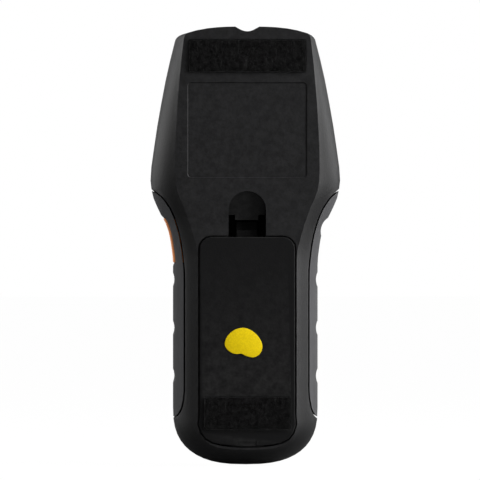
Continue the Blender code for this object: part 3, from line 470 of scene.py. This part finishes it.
def pad_block(low, high, rng):
    """Felt strip with rounded corners and rim, and a slightly uneven outline."""
    half_x = (high.x - low.x) / 2
    half_z = (high.z - low.z) / 2
    middle = (low + high) / 2
    bm = bmesh.new()
    bmesh.ops.create_grid(bm, x_segments=PAD_GRID[0], y_segments=PAD_GRID[1], size=1.0)
    bmesh.ops.scale(bm, vec=(half_x * PAD_SHARE_X, half_z * PAD_SHARE_Z, 1.0), verts=bm.verts)
    bmesh.ops.rotate(bm, cent=(0, 0, 0), matrix=Matrix.Rotation(math.radians(90), 3, "X"),
                     verts=bm.verts)
    for vertex in bm.verts:
        x, z = vertex.co.x, vertex.co.z
        past_x = max(abs(x) - half_x + PAD_CORNER, 0.0)
        past_z = max(abs(z) - half_z + PAD_CORNER, 0.0)
        past = math.hypot(past_x, past_z)
        if past_x > 0 and past_z > 0 and past > PAD_CORNER_ROUND:
            vertex.co.x -= math.copysign(past_x * (1 - PAD_CORNER_ROUND / past), x)
            vertex.co.z -= math.copysign(past_z * (1 - PAD_CORNER_ROUND / past), z)
    bmesh.ops.translate(bm, vec=(middle.x, high.y, middle.z), verts=bm.verts)
    extruded = bmesh.ops.extrude_face_region(bm, geom=bm.faces[:])
    front = [v for v in extruded["geom"] if isinstance(v, bmesh.types.BMVert)]
    bmesh.ops.translate(bm, vec=(0, low.y + PAD_FIBRE_ROOM - high.y, 0), verts=front)
    bmesh.ops.recalc_face_normals(bm, faces=bm.faces)
    rim = [e for e in bm.edges if e.is_manifold and e.calc_face_angle() > PAD_RIM_TURN
           and all(v.co.y < middle.y for v in e.verts)]
    bmesh.ops.bevel(bm, geom=rim, offset=PAD_RIM_ROUND, segments=3, profile=0.5,
                    affect="EDGES", clamp_overlap=True, material=-1)
    for vertex in bm.verts:
        if vertex.co.y < middle.y:
            edge_x = half_x - abs(vertex.co.x - middle.x)
            edge_z = half_z - abs(vertex.co.z - middle.z)
            if edge_x < edge_z:
                inward = Vector((middle.x - vertex.co.x, 0, 0))
            else:
                inward = Vector((0, 0, middle.z - vertex.co.z))
            if min(edge_x, edge_z) < PAD_RIM_REACH and inward.length > 0:
                vertex.co += inward.normalized() * rng.uniform(*PAD_RIM_WANDER)
            vertex.co.y += rng.uniform(0.0, PAD_FACE_WANDER)
    bmesh.ops.recalc_face_normals(bm, faces=bm.faces)
    return bm


# The fibres: thin cones, measured in metres, with each lean given per unit of length.
FIBRE_COUNT = 2600
FIBRE_BASE = 0.00003
FIBRE_TIP = 0.00001
FIBRE_STAND = 0.00016
RIM_FIBRE_LENGTH = (0.0003, 0.0007)
RIM_FIBRE_INSET = (0.0001, 0.0004)
RIM_FIBRE_OUT = (0.1, 0.8)
RIM_FIBRE_FORWARD = (-0.5, 0.1)
FACE_FIBRE_LENGTH = (0.0006, 0.0014)
FACE_FIBRE_FORWARD = (-0.22, -0.05)
FACE_SHARE_X, FACE_SHARE_Z = 0.97, 0.94


def pad_fibres(low, high, rng):
    """Loose fibres: two in three stand out from the rim, the rest lie on the face."""
    half_x = (high.x - low.x) / 2
    half_z = (high.z - low.z) / 2
    middle = (low + high) / 2
    bm = bmesh.new()
    for index in range(FIBRE_COUNT):
        if index % 3:
            along = rng.uniform(0, 2 * (half_x + half_z))
            if along < 2 * half_x:
                spot = Vector((along - half_x, 0, half_z * rng.choice((-1, 1))))
                outward = Vector((0, 0, math.copysign(1, spot.z)))
            else:
                spot = Vector((half_x * rng.choice((-1, 1)), 0, along - 2 * half_x - half_z))
                outward = Vector((math.copysign(1, spot.x), 0, 0))
            spot -= outward * rng.uniform(*RIM_FIBRE_INSET)
            lean = outward * rng.uniform(*RIM_FIBRE_OUT) + Vector(
                (rng.uniform(-1, 1), rng.uniform(*RIM_FIBRE_FORWARD), rng.uniform(-1, 1)))
            length = rng.uniform(*RIM_FIBRE_LENGTH)
        else:
            spot = Vector((rng.uniform(-half_x, half_x) * FACE_SHARE_X, 0,
                           rng.uniform(-half_z, half_z) * FACE_SHARE_Z))
            lean = Vector(
                (rng.uniform(-1, 1), rng.uniform(*FACE_FIBRE_FORWARD), rng.uniform(-1, 1)))
            length = rng.uniform(*FACE_FIBRE_LENGTH)
        root = Vector((middle.x + spot.x, low.y + FIBRE_STAND, middle.z + spot.z))
        turn = lean.to_track_quat("Z", "Y").to_matrix().to_4x4()
        lift = Matrix.Translation(root + lean.normalized() * length * 0.5)
        bmesh.ops.create_cone(bm, cap_ends=True, segments=3, radius1=FIBRE_BASE,
                              radius2=FIBRE_TIP, depth=length, matrix=lift @ turn)
    for vertex in bm.verts:
        vertex.co.y = max(vertex.co.y, low.y)
    return bm


def felt_pad(node, seed):
    """Pressed felt strip and its loose fibres, glued flat to its carrier."""
    low, high = (Vector(c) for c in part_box(node))
    rng = random.Random(seed)
    pad = settle(pad_block(low, high, rng), node + "_cloth", FELT, node_body[node],
                 (node,))
    fibres = settle(pad_fibres(low, high, rng), node + "_fibres", LINT, node_body[node])


felt_pad("upper_felt_pad", 11)
felt_pad("lower_felt_pad", 23)

# ------------------------------------------------------------ yellow mark
# Outline across and up the door, in millimetres.
MARK = ((-9.5, 51.2), (-8.15, 54.4), (-5.25, 56.8), (-1.75, 57.6), (1.5, 56.6), (4.3, 54.3),
        (5.95, 51.5), (6.25, 48.9), (4.9, 46.3), (2.4, 45.2), (-0.4, 45.75), (-2.6, 46.75),
        (-4.4, 46.6), (-6.4, 47.0), (-8.6, 48.7))
MARK_CLEARANCE = 0.08
MARK_THICKNESS = 0.00022
MARK_RIM_ROUND = 0.00014
MARK_STEPS = 8


def paint_blob():
    """The raised mark on the battery door, with a soft rim."""
    bm = bmesh.new()
    bm.verts.layers.float.new(WEAR)
    outline = smooth_loop([Vector(point) for point in MARK], MARK_STEPS)
    corners = [bm.verts.new((p.x * MM, (BACK_Y - MARK_CLEARANCE) * MM, z_at(p.y)))
               for p in outline]
    bm.faces.new(corners)
    raised = bmesh.ops.extrude_face_region(bm, geom=bm.faces[:])
    top = [v for v in raised["geom"] if isinstance(v, bmesh.types.BMVert)]
    bmesh.ops.translate(bm, vec=(0, -MARK_THICKNESS, 0), verts=top)
    bmesh.ops.recalc_face_normals(bm, faces=bm.faces)
    top_set = set(top)
    rim = [e for e in bm.edges if all(v in top_set for v in e.verts)]
    made = bmesh.ops.bevel(bm, geom=rim, offset=MARK_RIM_ROUND, segments=3, profile=0.5,
                           affect="EDGES", clamp_overlap=True, material=-1)
    layer = bm.verts.layers.float[WEAR]
    for vertex in made["verts"]:
        vertex[layer] = 1.0
    return bm


mark = settle(paint_blob(), "door_mark_paint", YELLOW, "door", ("door_mark",))
mark.data.set_sharp_from_angle(angle=CREASE_TURN)

# ------------------------------------------------------------ carried-over pieces
for name, obj in frame["nodes"].items():
    paint(obj, SLOT_FINISH[node_slot[name]])

# ------------------------------------------------------------ studio
# The camera is level with the middle of the instrument, a few degrees left of square to its
# sensing side and far enough away that its outline is almost free of perspective.
VIEW_TURN = 3.0
CAMERA_DISTANCE = 3.0
FRAME_HEIGHT = 0.20204
SENSOR_WIDTH = 36.0
AIM = Vector((-0.0024, 0.014, z_at(LENGTH / 2) + 0.00240))


def studio_camera():
    data = bpy.data.cameras.new("camera")
    data.sensor_width = SENSOR_WIDTH
    data.lens = SENSOR_WIDTH * CAMERA_DISTANCE / FRAME_HEIGHT
    data.clip_end = 20.0
    camera = bpy.data.objects.new("camera", data)
    bpy.context.scene.collection.objects.link(camera)
    turn = math.radians(VIEW_TURN)
    camera.location = AIM + Vector((-math.sin(turn), -math.cos(turn), 0.0)) * CAMERA_DISTANCE
    camera.rotation_euler = (math.radians(90), 0, -turn)
    return camera


bpy.context.scene.camera = studio_camera()

CENTRE = Vector((0.0, 0.015, z_at(LENGTH / 2)))


def softbox(name, place, width, height, watts):
    """A rectangular lamp turned to the middle of the instrument."""
    light = bpy.data.lights.new(name, "AREA")
    light.shape = "RECTANGLE"
    light.size = width
    light.size_y = height
    light.energy = watts
    lamp = bpy.data.objects.new(name, light)
    bpy.context.scene.collection.objects.link(lamp)
    lamp.location = place
    lamp.rotation_euler = (CENTRE - Vector(place)).to_track_quat("-Z", "Y").to_euler()


softbox("top_softbox", (0.10, -0.50, 0.80), 0.8, 0.5, 3.0)
softbox("front_right_softbox", (0.90, -0.42, 0.12), 0.45, 1.1, 31.0)
softbox("right_softbox", (0.85, 0.42, 0.30), 0.5, 1.0, 8.0)
softbox("left_softbox", (-0.85, 0.40, 0.10), 0.9, 1.0, 8.8)

# White behind the instrument, a dimmer studio in its reflections and on its surfaces.
SKY_LEVEL = 0.38
world = bpy.data.worlds.new("studio")
bpy.context.scene.world = world
world.use_nodes = True
sky = world.node_tree.nodes["Background"]
around = Wiring(world.node_tree)
around.feed(sky.inputs["Color"], rgba((1.0, 1.0, 1.0)))
around.feed(sky.inputs["Strength"], around.node("ShaderNodeMapRange", {}, {
    "Value": around.seen_directly(), "To Min": SKY_LEVEL}))

FLOOR_SIZE = 9.0
FLOOR_DROP = 0.0006
FLOOR_GLOW = 0.985
FLOOR_BOUNCE = 0.20
FLOOR_PALE = (0.86, 0.90)


def floor_finish():
    """A pale floor to the eye that throws only a little light back up."""
    f = Finish("pale_floor")
    speckle = f.noise(30.0, detail=4.0)
    straight = f.seen_directly()
    dim = rgba((FLOOR_BOUNCE,) * 3)
    low, high = (f.mixed(straight, dim, rgba((level,) * 3)) for level in FLOOR_PALE)
    f.link(Base_Color=f.mixed(speckle, low, high), Roughness=0.9, Specular_IOR_Level=0.0,
           Normal=f.bump(speckle, 0.0002, 0.1))
    glow = f.node("ShaderNodeEmission", {}, {"Strength": 1.0})
    surface = f.node("ShaderNodeMixShader", {}, {
        0: straight * FLOOR_GLOW, 1: Wire(f, f.shader.outputs[0]), 2: glow})
    f.feed(f.tree.nodes["Material Output"].inputs["Surface"], surface)
    return f.material


def studio_floor():
    bm = bmesh.new()
    bmesh.ops.create_grid(bm, x_segments=1, y_segments=1, size=FLOOR_SIZE)
    bmesh.ops.translate(bm, vec=(0, 0, z_at(0.0) - FLOOR_DROP), verts=bm.verts)
    mesh = bpy.data.meshes.new("floor")
    bm.to_mesh(mesh)
    bm.free()
    floor = bpy.data.objects.new("floor", mesh)
    bpy.context.scene.collection.objects.link(floor)
    paint(floor, floor_finish())
    return floor


floor = studio_floor()
bpy.context.scene.view_settings.view_transform = "Standard"
